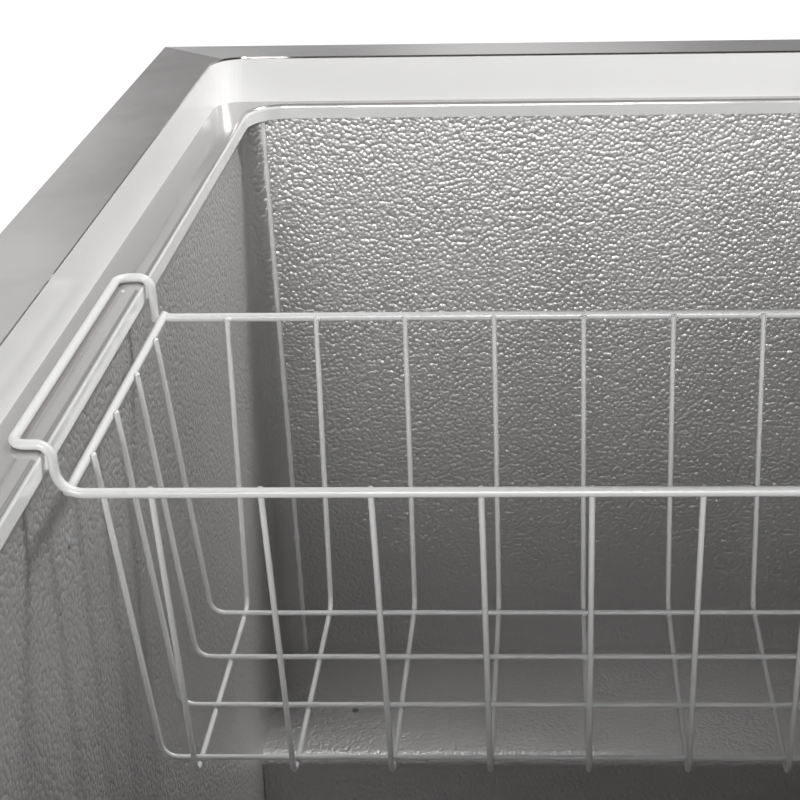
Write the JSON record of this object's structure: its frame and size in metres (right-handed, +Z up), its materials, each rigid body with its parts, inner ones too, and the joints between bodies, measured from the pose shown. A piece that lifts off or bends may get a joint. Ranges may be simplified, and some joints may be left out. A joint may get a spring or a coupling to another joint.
{
  "type": "chest freezer",
  "caption": "Commercial chest freezer standing open: steel cabinet with a white collar, stepped metal tank, hanging wire basket and a sprung, lockable lid.",
  "frame": {"origin": "middle of the footprint box on the floor, with the lid standing open", "axes": "+X along the length, to the right for someone at the front; +Y from the front to the hinged back; +Z up"},
  "size_m": [1.101, 0.7226, 1.5086],
  "materials": {
    "steel_rim": "satin",
    "steel_wrap": "satin",
    "white_collar": "gloss",
    "polished_ledge": "polished",
    "embossed_tank": "satin",
    "galvanised": "satin",
    "zinc_plated": "satin",
    "painted_black": "satin",
    "copper_tube": "satin",
    "insulation": "matte",
    "white_plastic": "satin",
    "dark_plastic": "matte",
    "grey_plastic": "matte",
    "black_rubber": "matte",
    "grey_vinyl": "matte",
    "lamp_red": "gloss",
    "nylon": "satin",
    "coated_wire": "gloss"
  },
  "bodies": {
    "cabinet": {"outer_shell": "steel_wrap", "back_panel": "galvanised", "base_plate": "galvanised", "base_rails": "painted_black", "feet": "black_rubber", "rim_frame": "steel_rim", "throat_frame": "white_collar", "ledge_frame": "polished_ledge", "liner": "embossed_tank", "liner_plugs": "grey_plastic", "cabinet_foam": "insulation", "bay_plate": "galvanised", "evaporator_coil": "copper_tube", "condenser_coil": "copper_tube", "compressor": "painted_black", "compressor_grommets": "black_rubber", "compressor_bolts": "zinc_plated", "relay_cover": "white_plastic", "suction_pipe": "copper_tube", "discharge_pipe": "copper_tube", "filter_drier": "copper_tube", "capillary_tube": "copper_tube", "side_grille": "dark_plastic", "cable_gland": "black_rubber", "control_panel": "dark_plastic", "thermostat_body": "grey_plastic", "indicator_lamps": "lamp_red", "drain_pipe": "white_plastic", "hinge_channels": "zinc_plated", "hinge_screws": "zinc_plated", "hinge_pins": "zinc_plated", "hinge_springs": "zinc_plated", "lock_keeper": "zinc_plated"},
    "lid": {"lid_skin": "steel_wrap", "lid_panel": "white_plastic", "lid_foam": "insulation", "lid_gasket": "grey_vinyl", "lid_handle": "dark_plastic", "hinge_arms": "zinc_plated", "arm_screws": "zinc_plated"},
    "lock": {"lock_barrel": "zinc_plated", "lock_tongue": "zinc_plated"},
    "plungers": {"hinge_plungers": "nylon"},
    "thermostat": {"thermostat_knob": "dark_plastic"},
    "rocker": {"rocker_switch": "dark_plastic"},
    "plug": {"drain_plug": "grey_plastic"},
    "cap": {"drain_cap": "white_plastic"},
    "basket": {"basket_near_rim": "coated_wire", "basket_hooks": "coated_wire", "basket_far_rim": "coated_wire", "basket_end_bars": "coated_wire", "basket_cross_wires": "coated_wire", "basket_long_wires": "coated_wire"}
  },
  "joints": [
    {"name": "lid_hinge", "type": "hinge", "parent": "cabinet", "child": "lid", "pos_m": [0, 0.31771, 0.811], "axis": [1, 0, 0], "range_deg": [0, 88]},
    {"name": "hinge_plunger", "type": "slide", "parent": "cabinet", "child": "plungers", "axis": [0, 0, 1], "range_m": [-0.00619, 0], "deforming": ["hinge_springs"]},
    {"name": "lock_turn", "type": "hinge", "parent": "lid", "child": "lock", "pos_m": [0, 0.27986, 1.49379], "axis": [0, -0.0349, 0.9994], "range_deg": [0, 90]},
    {"name": "thermostat_turn", "type": "hinge", "parent": "cabinet", "child": "thermostat", "pos_m": [-0.4821, -0.33469, 0.138], "axis": [0, 1, 0], "range_deg": [-135, 135]},
    {"name": "rocker_tip", "type": "hinge", "parent": "cabinet", "child": "rocker", "pos_m": [-0.4281, -0.33569, 0.118], "axis": [1, 0, 0], "range_deg": [-18, 0]},
    {"name": "drain_plug_lift", "type": "slide", "parent": "cabinet", "child": "plug", "axis": [0, 0, 1], "range_m": [0, 0.03]},
    {"name": "drain_cap_pull", "type": "slide", "parent": "cabinet", "child": "cap", "axis": [0, -1, 0], "range_m": [0, 0.025]},
    {"name": "basket_slide", "type": "slide", "parent": "cabinet", "child": "basket", "axis": [1, 0, 0], "range_m": [-0.34, 0.34]}
  ],
  "couplings": [
    {"joint": "hinge_plunger", "follows": "lid_hinge", "m_per_rad": -0.004}
  ]
}
